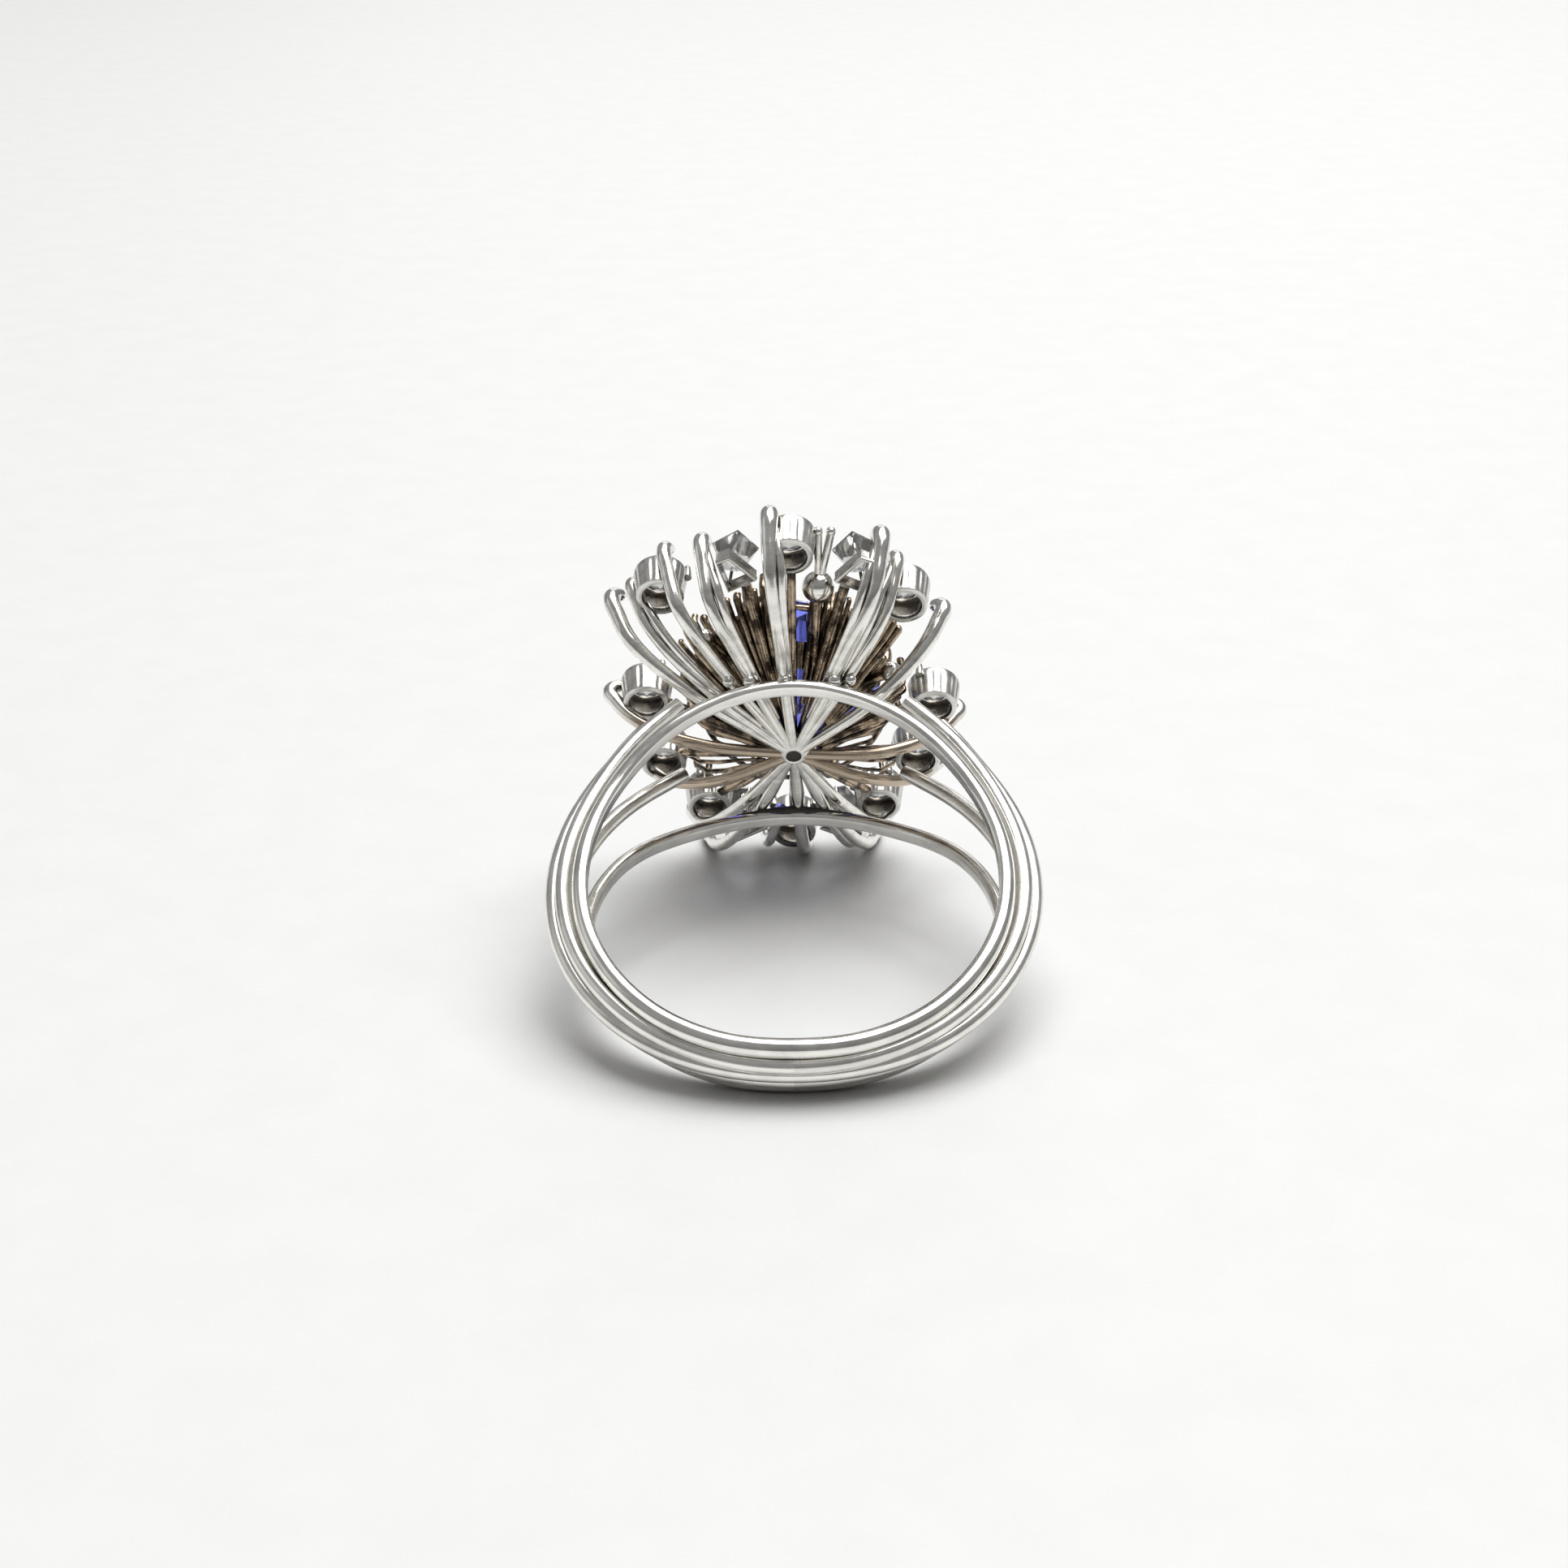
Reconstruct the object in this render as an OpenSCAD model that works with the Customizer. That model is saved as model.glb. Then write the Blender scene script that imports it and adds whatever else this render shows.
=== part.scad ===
// Cluster ring: an oval blue centre stone inside a ring of round and kite cut white stones
// Sizes in millimetres. The ring lies on its side: lower edge of the back and three claws touch the floor

/* [Finger] */
// Inner diameter of the shank
finger_diameter = 17; // [14:0.1:22]
// Share of a rail's radius kept on its flat side that faces the finger
rail_flat = 0.75; // [0.4:0.05:1]
// Angle from the back of the shank at which the shoulder wires are cut off
shoulder_end = 153; // [140:1:165]
// Angle from the back at which the centre wire meets the side claws of the head
centre_end = 148; // [100:1:150]

/* [Head] */
// Height of the middle of the hub above the middle of the finger hole
hub_height = 8.95; // [8.5:0.05:10]
// Radius of the hub on the finger side
hub_radius = 0.9; // [0.5:0.05:1.5]
// Thickness of the hub
hub_thickness = 0.83; // [0.3:0.01:1.5]
// Radius of the hole through the hub
hub_hole = 0.3; // [0.1:0.05:0.5]
// Lean of the outer stones away from the middle, in degrees
stone_lean = 1; // [0:1:25]
// Radius of a claw where it leaves the hub
inner_wire = 0.25; // [0.15:0.01:0.4]

/* [Stones] */
// Width of the centre stone across the ring
centre_width = 8; // [5:0.1:10]
// Length of the centre stone along the finger
centre_length = 10; // [6:0.1:12]
// Height of the centre stone's girdle above the middle of the finger hole
centre_girdle = 13.6; // [12:0.1:16]
// Diameter of a round stone
round_diameter = 1.8; // [1:0.05:3]
// Clear space between a stone and the metal round it
stone_gap = 0.06; // [0.03:0.01:0.2]
// Wall of a round collet
collet_wall = 0.15; // [0.1:0.05:0.4]
// Height of a round collet
collet_height = 1.45; // [0.6:0.05:2]
// Outer radius of a round collet at its lower edge
collet_foot = 1; // [0.7:0.05:1.2]

/* [Hidden] */
$fn = 10;
inner_radius = finger_diameter / 2;
round_radius = round_diameter / 2;
collet_sides = 10;

// Rails, which part at the sides and pass under the head as two arches; this is the upper one
// columns: angle from the back, height of the wire above the finger hole, offset along the finger, wire radius
upper_rail_rows = [
  [0, 0.22, 1.05, 0.43],
  [20, 0.34, 1.06, 0.42],
  [45, 0.40, 1.12, 0.41],
  [90, 0.38, 1.63, 0.38],
  [120, 0.38, 2.35, 0.37],
  [150, 0.38, 3.52, 0.37],
  [180, 0.38, 4.08, 0.37]
];
// Lower rail; columns as above
lower_rail_rows = [
  [0, 0.22, 1.05, 0.43],
  [20, 0.34, 1.06, 0.42],
  [45, 0.40, 1.12, 0.41],
  [90, 0.38, 1.66, 0.38],
  [120, 0.38, 2.50, 0.37],
  [150, 0.38, 3.74, 0.37],
  [180, 0.38, 4.10, 0.37]
];
// Shoulder wires between the rails, cut square at the sides of the head; columns as above
shoulder_rows = [
  [0, 0.60, 0.40, 0.38],
  [45, 0.84, 0.52, 0.38],
  [90, 1.20, 0.76, 0.38],
  [120, 1.55, 1.25, 0.37],
  [145, 2.20, 2.00, 0.35],
  [155, 2.65, 2.27, 0.33]
];
// Single wire that fills the fork of the shoulders; columns as above
centre_rows = [
  [0, 0.68, 0.00, 0.36],
  [45, 1.14, 0.00, 0.38],
  [90, 1.66, 0.00, 0.38],
  [115, 2.20, 0.00, 0.36],
  [135, 3.00, 0.00, 0.33],
  [148, 4.10, 0.00, 0.28]
];

// How a claw climbs from the hub to its tip
// columns: share of its reach, rise of a slanted claw, rise of a claw with a sharp bend, gain of thickness
climb_rows = [
  [0.00, 0.00, 0.00, 0.00],
  [0.18, 0.03, 0.04, 0.05],
  [0.40, 0.09, 0.09, 0.20],
  [0.62, 0.25, 0.17, 0.33],
  [0.80, 0.48, 0.24, 0.55],
  [0.92, 0.73, 0.42, 0.85],
  [1.00, 1.00, 1.00, 1.00]
];
// Claws of the rim
// columns: tip across, tip along the finger, tip height, wire radius, sharpness of bend, side of its thin partner
claw_rows = [
  [-0.92, 10.19, 13.20, 0.41, 0.75, 1],
  [-3.90, 8.74, 13.20, 0.38, 1.00, 1],
  [-5.55, 8.31, 13.20, 0.33, 0.95, 0],
  [-7.06, 6.30, 13.19, 0.32, 0.35, 0],
  [-8.00, 5.56, 13.20, 0.37, 0.50, 0],
  [3.92, 9.01, 13.20, 0.41, 0.85, -1],
  [4.61, 7.67, 13.20, 0.33, 0.60, 0],
  [6.72, 4.79, 13.15, 0.38, 0.10, 0],
  [-8.41, 0.05, 12.95, 0.34, 0.10, 0],
  [7.64, -1.24, 12.95, 0.32, 0.00, 0],
  [-6.94, -4.65, 12.95, 0.30, 0.00, 0],
  [6.80, -4.55, 12.95, 0.30, 0.00, 0],
  [-4.94, -7.76, 13.00, 0.33, 0.30, 0],
  [4.50, -7.86, 13.00, 0.33, 0.30, 0],
  [2.95, -9.30, 13.10, 0.28, 0.40, 0],
  [-1.50, -9.16, 13.10, 0.26, 0.40, 0],
  [1.26, 9.10, 13.20, 0.24, 0.30, 0],
  [1.84, 8.86, 13.20, 0.24, 0.30, 0]
];
// Claws that the ring lies on, their reach found from the floor
// columns: tip across, tip height, wire radius, sharpness of bend, amount its reach is held back
foot_rows = [
  [0.45, 12.90, 0.38, 0.20, 0.014],
  [-4.25, 13.65, 0.34, 0.20, 0.048],
  [3.85, 13.80, 0.33, 0.20, 0.054]
];
// Straight inner wires under the stones
// columns: end across, end along the finger, end height, wire radius
stay_rows = [
  [0.00, 8.16, 12.15, 0.20],
  [-1.99, 7.00, 12.35, 0.24],
  [2.32, 6.86, 12.35, 0.24],
  [-5.19, 6.17, 12.15, 0.22],
  [4.40, 5.49, 12.15, 0.22],
  [-5.85, 0.19, 12.15, 0.24],
  [5.58, -0.05, 12.15, 0.24],
  [-5.37, -3.08, 12.15, 0.22],
  [5.03, -2.97, 12.15, 0.22],
  [-3.59, -5.79, 12.15, 0.22],
  [3.50, -5.72, 12.15, 0.22],
  [-2.18, -6.72, 12.35, 0.20],
  [1.89, -6.71, 12.35, 0.20],
  [-0.11, -7.44, 12.15, 0.20]
];
// Claws of the centre stone, by angle round its oval
basket_angles = [20, 66, 114, 160, 200, 246, 294, 340];

// Round white stones
// columns: number, across, along the finger, girdle height
round_rows = [
  [1, -0.08, 8.97, 13.33],
  [2, 4.92, 6.20, 13.23],
  [3, 6.42, 0.00, 13.18],
  [4, 5.75, -3.40, 13.18],
  [5, 3.95, -6.45, 13.23],
  [6, -0.10, -8.30, 13.28],
  [7, -4.05, -6.50, 13.23],
  [8, -6.10, -3.50, 13.18],
  [9, -6.70, 0.45, 13.18],
  [10, -5.76, 6.83, 13.23]
];
// Kite cut white stones, point outward; columns as above, then the direction of the point
kite_rows = [
  [11, 2.66, 7.90, 13.30, 80],
  [12, 2.15, -7.70, 13.25, -78],
  [13, -2.38, -7.70, 13.25, -99],
  [14, -2.28, 8.05, 13.30, 97]
];
// Outline of a kite stone; columns: outward, sideways
kite_outline = [
  [1.30, 0],
  [0.10, 0.95],
  [-1.10, 0.38],
  [-1.10, -0.38],
  [0.10, -0.95]
];

// Value of a column part way along a table, as a smooth curve through its rows
function row_at(rows, v, i = 0) = i >= len(rows) - 2 || v < rows[i + 1][0] ? i : row_at(rows, v, i + 1);
function row_slope(rows, i, c) =
  i == 0 || rows[i][0] == 180 ? 0 :
  i == len(rows) - 1 ? (rows[i][c] - rows[i - 1][c]) / (rows[i][0] - rows[i - 1][0]) :
  (rows[i + 1][c] - rows[i - 1][c]) / (rows[i + 1][0] - rows[i - 1][0]);
function along(rows, v, c) =
  let (i = row_at(rows, v))
  let (h = rows[i + 1][0] - rows[i][0])
  let (s = (v - rows[i][0]) / h)
  let (start = rows[i][c] * (2 * s ^ 3 - 3 * s ^ 2 + 1) + rows[i + 1][c] * (3 * s ^ 2 - 2 * s ^ 3))
  start + h * (row_slope(rows, i, c) * (s ^ 3 - 2 * s ^ 2 + s) + row_slope(rows, i + 1, c) * (s ^ 3 - s ^ 2));
function mixed(a, b, s) = a + (b - a) * s;
function unit(v) = v / norm(v);

// Resting tilt from the lower rail at the back and the lowest claw
back_point = [-(inner_radius + lower_rail_rows[0][1]), -lower_rail_rows[0][2]];
foot_point = [foot_rows[0][1], -9.80];
foot_line = foot_point - back_point;
rest_tilt = atan(-foot_line[1] / foot_line[0]) - asin((lower_rail_rows[0][3] - foot_rows[0][2]) / norm(foot_line));
rest_height = lower_rail_rows[0][3] - 0.013 - back_point[1] * cos(rest_tilt) - back_point[0] * sin(rest_tilt);
rest_shift = -4.09;
function foot_reach(height, radius) = (radius - rest_height - height * sin(rest_tilt)) / cos(rest_tilt);

// Centre line of a shank wire at an angle from the back
function ring_point(rows, a, side) =
  let (r = inner_radius + along(rows, abs(a), 1))
  [r * sin(a), -r * cos(a), side * along(rows, abs(a), 2)];

// Centre line of a claw: out from the hub, up to the tip and over the stone
function claw_point(tip, bend, row) =
  let (start = 0.55 / norm([tip[0], tip[2]]))
  let (s = start + row[0] * (1 - start))
  [tip[0] * s, mixed(hub_height, tip[1], mixed(row[1], row[2], bend)), tip[2] * s];
function claw_path(tip, bend) = [for (row = climb_rows) claw_point(tip, bend, row)];

// Round wire along a path; up is a direction square to the path's plane, flat cuts back its inner side
module wire(path, radii, up, sides = 8, flat = 1, closed = false) {
  n = len(path);
  turn = sides % 4 == 0 ? 0 : 180 / sides;
  ring = [for (k = [0 : sides - 1]) [max(cos(turn + 360 * k / sides), -flat), sin(turn + 360 * k / sides)]];
  next = [for (i = [0 : n - 1]) closed ? path[(i + 1) % n] : path[min(i + 1, n - 1)]];
  last = [for (i = [0 : n - 1]) closed ? path[(i + n - 1) % n] : path[max(i - 1, 0)]];
  out = [for (i = [0 : n - 1]) unit(cross(next[i] - last[i], up))];
  top = [for (i = [0 : n - 1]) unit(cross(out[i], next[i] - last[i]))];
  points = [for (i = [0 : n - 1]) for (p = ring) path[i] + radii[i] * (p[0] * out[i] + p[1] * top[i])];
  skin = [
    for (i = [0 : n - (closed ? 1 : 2)])
      for (k = [0 : sides - 1])
        [
          i * sides + k,
          i * sides + (k + 1) % sides,
          ((i + 1) % n) * sides + (k + 1) % sides,
          ((i + 1) % n) * sides + k
        ]
  ];
  start_cap = [[for (k = [sides - 1 : -1 : 0]) k]];
  end_cap = [[for (k = [0 : sides - 1]) (n - 1) * sides + k]];
  polyhedron(points, closed ? skin : concat(skin, start_cap, end_cap), convexity = 6);
}

// Shank wire of a table between two angles
module shank_wire(rows, side, limit, steps, sides, flat) {
  whole = limit == 180;
  angles = [for (i = [0 : whole ? steps - 1 : steps]) -limit + 2 * limit * i / steps];
  path = [for (a = angles) ring_point(rows, a, side)];
  radii = [for (a = angles) along(rows, abs(a), 3)];
  wire(path, radii, [0, 0, 1], sides, flat, whole);
}

module shank() {
  shank_wire(upper_rail_rows, 1, 180, 32, 10, rail_flat);
  shank_wire(lower_rail_rows, -1, 180, 32, 10, rail_flat);
  for (side = [-1, 1])
    shank_wire(shoulder_rows, side, shoulder_end, 20, 8, 1);
  shank_wire(centre_rows, 1, centre_end, 18, 8, 1);
}

// Bead that ends a claw, from its tip inward over the stone
module claw_head(tip, radius) {
  inward = -unit([tip[0], 0, tip[2]]);
  hull() {
    translate(tip)
      sphere(radius, $fn = radius > 0.37 ? 8 : 6);
    translate(tip + inward * 0.3 + [0, 0.4, 0])
      sphere(radius * 0.85, $fn = 5);
  }
}

// Claw with its bead, and the thin partner wire that leaves it just under the bead
module claw(tip, radius, bend, partner) {
  path = claw_path(tip, bend);
  across = unit([-tip[2], 0, tip[0]]);
  wire(path, [for (row = climb_rows) mixed(inner_wire, radius, row[3])], across, radius > 0.37 ? 8 : 6);
  claw_head(tip, radius);
  if (partner != 0) {
    beside = unit([abs(tip[2]), 0, -tip[0] * sign(tip[2])]) * partner;
    offsets = [0, 0.14, 0.24, 0.3, 0.34, 0.32, 0.05];
    thin = [for (i = [1 : len(path) - 1]) path[i] + beside * offsets[i] + [0, 0.12, 0]];
    wire(thin, [for (i = [1 : len(path) - 1]) mixed(0.18, 0.24, climb_rows[i][3])], across, 6);
  }
}

module claws() {
  for (row = claw_rows)
    claw([row[0], row[2], row[1]], row[3], row[4], row[5]);
  for (row = foot_rows)
    claw([row[0], row[1], foot_reach(row[1], row[2]) + row[4]], row[2], row[3], 0);
}

// Straight inner wires, from the hub to the undersides of the collets
module stays() {
  for (row = stay_rows) {
    end = [row[0], row[2], row[1]];
    start = [row[0] * 0.078, hub_height + 0.24, row[1] * 0.078];
    wire([start, end], [0.18, row[3]], unit([-row[1], 0, row[0]]), 5);
  }
}

// Hub where all claws meet, with its small hole
module hub_blank() {
  translate([0, hub_height - 0.4, 0])
    rotate([-90, 0, 0])
      cylinder(h = hub_thickness, r1 = hub_radius, r2 = hub_radius * 1.5, $fn = 16);
}

module hub_bore() {
  translate([0, hub_height - 2, 0])
    rotate([-90, 0, 0])
      cylinder(h = 3, r = hub_hole, $fn = 8);
}

// Basket of the centre stone: eight wires with a bead on each over the girdle
module basket() {
  for (a = basket_angles) {
    reach = [(centre_width / 2 + 0.36) * cos(a), (centre_length / 2 + 0.36) * sin(a)];
    foot = [reach[0] * 0.16, hub_height + 0.14, reach[1] * 0.16];
    knee = [reach[0], centre_girdle - 0.9, reach[1]];
    head = [reach[0], centre_girdle + 0.25, reach[1]];
    across = unit([-reach[1], 0, reach[0]]);
    wire([foot, knee, head], [0.18, 0.28, 0.3], across, 5);
    hull() {
      translate(head)
        sphere(0.3, $fn = 5);
      translate([reach[0] * 0.93, centre_girdle + 0.62, reach[1] * 0.93])
        sphere(0.26, $fn = 5);
    }
  }
}

// Puts something drawn upright at a stone's place, leaning outward, its own x axis outward
module seat(row) {
  turn = len(row) > 4 ? -row[4] : atan2(-row[2], row[1]);
  translate([row[1], row[3], row[2]])
    rotate([-90, 0, 0])
      rotate([0, 0, turn])
        rotate([0, stone_lean, 0])
          children();
}

// Open tapered collet under and round a round stone
module collet() {
  outer = (round_radius + stone_gap + 0.03) / cos(180 / collet_sides) + collet_wall;
  rotate_extrude($fn = collet_sides)
    polygon([
      [outer - collet_wall, 0.05],
      [outer, 0],
      [collet_foot, -collet_height],
      [collet_foot - 0.25, -collet_height]
    ]);
}

// Small posts that hold a round stone at its inner side
module grains() {
  reach = round_radius + stone_gap + 0.22;
  for (a = [125, 235])
    translate([reach * cos(a), reach * sin(a), -0.3])
      cylinder(h = 0.75, r1 = 0.2, r2 = 0.15, $fn = 5);
}

// Open walls under a kite stone that follow its outline, with a post at its inner side
module kite_strip() {
  corners = [[-0.35, 0.85], [0.75, 0], [-0.35, -0.85], [-1.45, 0]];
  for (i = [0 : 3])
    hull()
      for (c = [corners[i], corners[(i + 1) % 4]])
        translate([c[0], c[1], -1.4])
          cylinder(h = i > 1 ? 0.3 : 0.85, r = 0.12, $fn = 4);
  translate([-1.4, 0, -1.4])
    cylinder(h = 1.7, r1 = 0.18, r2 = 0.15, $fn = 5);
}

// Brilliant cut: eight sided table, sixteen sided girdle, facets down to the culet
module brilliant(rx, ry, crown, pavilion, table) {
  band = 0.05;
  table_ring = [for (i = [0 : 7]) [rx * table * cos(45 * i), ry * table * sin(45 * i), crown]];
  upper_ring = [for (i = [0 : 15]) [rx * cos(22.5 * i), ry * sin(22.5 * i), band]];
  lower_ring = [for (i = [0 : 15]) [rx * cos(22.5 * i), ry * sin(22.5 * i), -band]];
  points = concat(table_ring, upper_ring, lower_ring, [[0, 0, -pavilion]]);
  stars = [for (i = [0 : 7]) [i, 8 + 2 * i + 1, (i + 1) % 8]];
  rights = [for (i = [0 : 7]) [i, 8 + 2 * i, 8 + 2 * i + 1]];
  lefts = [for (i = [0 : 7]) [(i + 1) % 8, 8 + 2 * i + 1, 8 + (2 * i + 2) % 16]];
  girdle = [for (i = [0 : 15]) [8 + i, 24 + i, 24 + (i + 1) % 16, 8 + (i + 1) % 16]];
  mains = [for (i = [0 : 15]) [24 + i, 40, 24 + (i + 1) % 16]];
  faces = concat([[for (i = [0 : 7]) i]], stars, rights, lefts, girdle, mains);
  polyhedron(points, [for (f = faces) [for (k = [len(f) - 1 : -1 : 0]) f[k]]], convexity = 2);
}

// Kite stone: flat table, sloped crown, thin girdle and a pavilion down to a short keel
module kite_stone() {
  translate([0, 0, 0.05])
    linear_extrude(height = 0.3, scale = 0.6)
      polygon(kite_outline);
  translate([0, 0, -0.05])
    linear_extrude(height = 0.1)
      polygon(kite_outline);
  translate([0, 0, -0.05])
    rotate([180, 0, 0])
      linear_extrude(height = 0.75, scale = 0.08)
        polygon(kite_outline);
}

// Lays the ring on its side on the floor
module resting() {
  translate([0, rest_shift, rest_height])
    rotate([rest_tilt, 0, 0])
      children();
}

module mount() {
  color("silver")
    resting()
      difference() {
        union() {
          shank();
          claws();
          stays();
          basket();
          hub_blank();
          for (row = round_rows)
            seat(row) {
              collet();
              grains();
            }
          for (row = kite_rows)
            seat(row)
              kite_strip();
        }
        hub_bore();
      }
}

module sapphire() {
  color("royalblue")
    resting()
      translate([0, centre_girdle, 0])
        rotate([-90, 0, 0])
          brilliant(centre_width / 2, centre_length / 2, 1.35, 3.35, 0.58);
}

module diamond(number) {
  color("aliceblue")
    resting() {
      for (row = round_rows)
        if (row[0] == number)
          seat(row)
            brilliant(round_radius, round_radius, 0.32, 0.86, 0.56);
      for (row = kite_rows)
        if (row[0] == number)
          seat(row)
            kite_stone();
    }
}

mount();
sapphire();
diamond(1);  // diamond_01
diamond(2);  // diamond_02
diamond(3);  // diamond_03
diamond(4);  // diamond_04
diamond(5);  // diamond_05
diamond(6);  // diamond_06
diamond(7);  // diamond_07
diamond(8);  // diamond_08
diamond(9);  // diamond_09
diamond(10);  // diamond_10
diamond(11);  // diamond_11
diamond(12);  // diamond_12
diamond(13);  // diamond_13
diamond(14);  // diamond_14
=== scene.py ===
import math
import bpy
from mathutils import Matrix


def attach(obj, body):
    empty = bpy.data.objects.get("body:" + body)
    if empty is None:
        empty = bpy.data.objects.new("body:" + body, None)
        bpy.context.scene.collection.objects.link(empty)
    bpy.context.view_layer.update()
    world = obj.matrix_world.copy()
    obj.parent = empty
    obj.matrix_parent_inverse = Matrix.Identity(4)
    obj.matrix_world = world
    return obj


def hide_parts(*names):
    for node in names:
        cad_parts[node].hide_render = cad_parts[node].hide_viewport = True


bl_info = {
    "name": "Sapphire and Diamond Ring",
    "version": (1, 0, 0),
    "blender": (4, 5, 0),
    "location": "View3D > Sidebar > Ring",
    "description": "Dresses the packed ring: finer wires, collets, polished metal, cut stones and a studio",
    "category": "Object",
}

import bpy
from mathutils import Matrix, Vector

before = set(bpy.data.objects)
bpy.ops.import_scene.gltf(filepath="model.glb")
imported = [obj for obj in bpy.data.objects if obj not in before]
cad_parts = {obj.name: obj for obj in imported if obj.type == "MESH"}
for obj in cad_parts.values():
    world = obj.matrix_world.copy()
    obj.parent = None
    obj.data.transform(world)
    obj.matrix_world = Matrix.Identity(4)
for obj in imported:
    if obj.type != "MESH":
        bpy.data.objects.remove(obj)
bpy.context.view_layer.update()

MM = 0.001
MIDDLE = (0, 0, 0)
# Radius at which the shank's scratches are measured, in metres
SHANK_RADIUS = 0.009
# Distances from the head's middle between which the side claws turn from golden to white, in metres
GOLDEN_END = 0.0066
WHITE_START = 0.0084
# How the ring lies on the floor: lean of the shank, and the place of the finger hole's middle
REST_TILT = 21.911
REST_SHIFT = -4.09
REST_HEIGHT = 4.645
LAID = (
    Matrix.Translation((0, REST_SHIFT * MM, REST_HEIGHT * MM))
    @ Matrix.Rotation(math.radians(REST_TILT), 4, "X")
    @ Matrix.Scale(MM, 4)
)

# Shank wires, in millimetres, as in the part's source
# columns: angle from the back, height above the finger hole, offset along the finger, wire radius
UPPER_RAIL = [
    (0, 0.22, 1.05, 0.43),
    (20, 0.34, 1.06, 0.42),
    (45, 0.40, 1.12, 0.41),
    (90, 0.38, 1.63, 0.38),
    (120, 0.38, 2.35, 0.37),
    (150, 0.38, 3.52, 0.37),
    (180, 0.38, 4.08, 0.37),
]
LOWER_RAIL = [
    (0, 0.22, 1.05, 0.43),
    (20, 0.34, 1.06, 0.42),
    (45, 0.40, 1.12, 0.41),
    (90, 0.38, 1.66, 0.38),
    (120, 0.38, 2.50, 0.37),
    (150, 0.38, 3.74, 0.37),
    (180, 0.38, 4.10, 0.37),
]
SHOULDER = [
    (0, 0.60, 0.40, 0.38),
    (45, 0.84, 0.52, 0.38),
    (90, 1.20, 0.76, 0.38),
    (120, 1.55, 1.25, 0.37),
    (145, 2.20, 2.00, 0.35),
    (155, 2.65, 2.27, 0.33),
]
CENTRE = [
    (0, 0.68, 0.00, 0.36),
    (45, 1.14, 0.00, 0.38),
    (90, 1.66, 0.00, 0.38),
    (115, 2.20, 0.00, 0.36),
    (135, 3.00, 0.00, 0.33),
    (148, 4.10, 0.00, 0.28),
]
# Angles from the back at which the shoulder wires and the centre wire end
SHOULDER_END = 153
CENTRE_END = 148
# Share of a rail's radius that is left on its flat inner side
RAIL_FLAT = 0.75
# Line of solder on the lower arch, coloured dark as painted shade: half its angle, knots, radius in the
# middle and what its ends lose
SOLDER_ARC = 17
SOLDER_KNOTS = 12
SOLDER_RADIUS = 0.20
SOLDER_TAPER = 0.12

# Distance from the hub's middle at which a claw starts
CLAW_ROOT = 0.45
# How a claw climbs from the hub to its tip
# columns: share of its reach, rise of a slanted claw, rise of a claw with a sharp bend, gain of thickness
CLIMB = [
    (0.00, 0.00, 0.00, 0.00),
    (0.18, 0.03, 0.04, 0.05),
    (0.40, 0.09, 0.09, 0.20),
    (0.62, 0.25, 0.17, 0.33),
    (0.80, 0.48, 0.24, 0.55),
    (0.92, 0.73, 0.42, 0.85),
    (1.00, 1.00, 1.00, 1.00),
]
# Fold of a claw over the stone's edge; columns: inward, upward, share of its radius
FOLD = [(0.12, 0.26, 0.97), (0.36, 0.42, 0.85)]
# Shares of the climb between which a claw with a partner leaves a slit, how far it moves aside there,
# and how much thinner it is
SLIT = (0.7, 1)
SLIT_SHIFT = 0.08
SLIT_THINNER = 0.07
# How far the thin partner of a claw stands off at each row of the climb after the first
PARTNER_GAP = (0.14, 0.22, 0.28, 0.36, 0.44, 0.06)
# Claws over the outer stones
# columns: tip across, tip along the finger, tip height, wire radius, sharpness of bend, side of its partner
CLAWS = [
    (-0.92, 10.19, 13.20, 0.41, 0.75, 1),
    (-3.90, 8.74, 13.20, 0.38, 1.00, 1),
    (-5.55, 8.31, 13.20, 0.33, 0.95, 0),
    (-7.06, 6.30, 13.19, 0.32, 0.35, 1),
    (-8.00, 5.56, 13.20, 0.37, 0.50, 0),
    (3.92, 9.01, 13.20, 0.41, 0.85, -1),
    (4.61, 7.67, 13.20, 0.33, 0.60, -1),
    (6.72, 4.79, 13.15, 0.38, 0.10, 0),
    (-8.41, 0.05, 12.95, 0.34, 0.10, 0),
    (7.64, -1.24, 12.95, 0.32, 0.00, 0),
    (-6.94, -4.65, 12.95, 0.30, 0.00, 0),
    (6.80, -4.55, 12.95, 0.30, 0.00, 0),
    (-4.94, -7.76, 13.00, 0.33, 0.30, 0),
    (4.50, -7.86, 13.00, 0.33, 0.30, 0),
    (2.95, -9.30, 13.10, 0.28, 0.40, 0),
    (-1.50, -9.16, 13.10, 0.26, 0.40, 0),
]
# Claws that the ring lies on
# columns: tip across, tip height, wire radius, sharpness of bend, amount its reach is held back
FEET = [
    (0.45, 12.90, 0.38, 0.20, 0.014),
    (-4.25, 13.65, 0.34, 0.20, 0.048),
    (3.85, 13.80, 0.33, 0.20, 0.054),
]
# Bright swelling at the root of a foot; columns: share of the way out, radius
PETAL = ((0, 0.20), (0.12, 0.27), (0.24, 0.33), (0.33, 0.27), (0.40, 0.10))
PETAL_HEIGHT = 9.6
# Claws whose tips lie between these places along the finger are dull near the hub
DULL_CLAWS = (-6, 2)
# Claws whose tips lie past this place along the finger start away from the hub
LATE_CLAWS = -9
# Bored boss and its dark plug of painted shade, turned; columns: radius, height
HUB_OUTLINE = [
    (0.33, 0.90),
    (0.33, 0.06),
    (0.35, 0.02),
    (0.41, 0.0),
    (0.50, 0.02),
    (0.64, 0.12),
    (0.82, 0.32),
    (1.00, 0.60),
    (0.95, 0.80),
]
PLUG_OUTLINE = [(0, 0.16), (0.31, 0.10), (0.34, 0.06), (0.36, 0.30), (0, 0.40)]
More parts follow.
